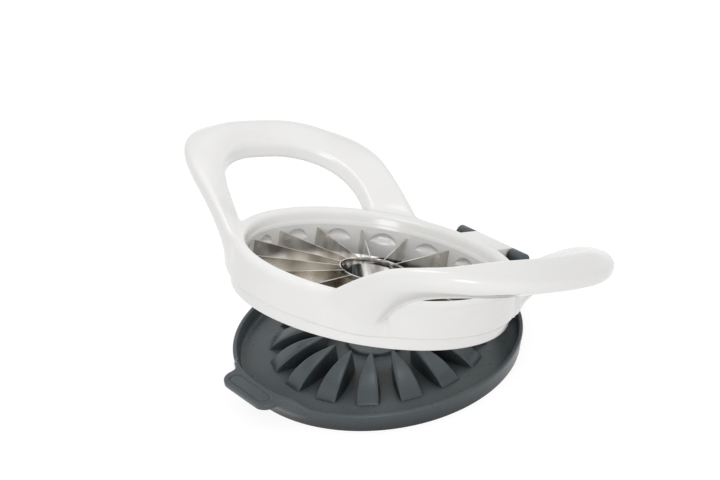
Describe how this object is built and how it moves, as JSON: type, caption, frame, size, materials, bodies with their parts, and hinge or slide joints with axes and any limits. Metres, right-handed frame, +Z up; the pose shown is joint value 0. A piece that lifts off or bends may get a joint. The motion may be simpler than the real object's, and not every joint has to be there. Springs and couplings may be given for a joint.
{
  "type": "apple slicer",
  "caption": "Hinged apple slicer and corer: white round frame with radial blades, a coring ring and two finger-loop handles, on a grey base with pusher fingers.",
  "frame": {"origin": "centre of the base's flat underside", "axes": "+Z up, X along the two handles, -Y towards the pull tab, +Y towards the hinge"},
  "size_m": [0.1956, 0.1336, 0.0801],
  "materials": {
    "white_plastic": "satin gloss",
    "grey_plastic": "satin",
    "blade_steel": "polished sheet",
    "core_steel": "polished",
    "pin_steel": "drawn"
  },
  "bodies": {
    "base": {"base_tray": "grey_plastic", "hinge_pin": "pin_steel"},
    "head": {"slicer_frame": "white_plastic", "retaining_ring": "white_plastic", "core_ring": "core_steel", "blade_01": "blade_steel", "blade_02": "blade_steel", "blade_03": "blade_steel", "blade_04": "blade_steel", "blade_05": "blade_steel", "blade_06": "blade_steel", "blade_07": "blade_steel", "blade_08": "blade_steel", "blade_09": "blade_steel", "blade_10": "blade_steel", "blade_11": "blade_steel", "blade_12": "blade_steel", "blade_13": "blade_steel", "blade_14": "blade_steel", "blade_15": "blade_steel", "blade_16": "blade_steel"}
  },
  "joints": [
    {"name": "head_hinge", "type": "hinge", "parent": "base", "child": "head", "pos_m": [0, 0.06416, 0.01851], "axis": [-1, 0, 0], "range_deg": [-18.68, 91.32]}
  ]
}
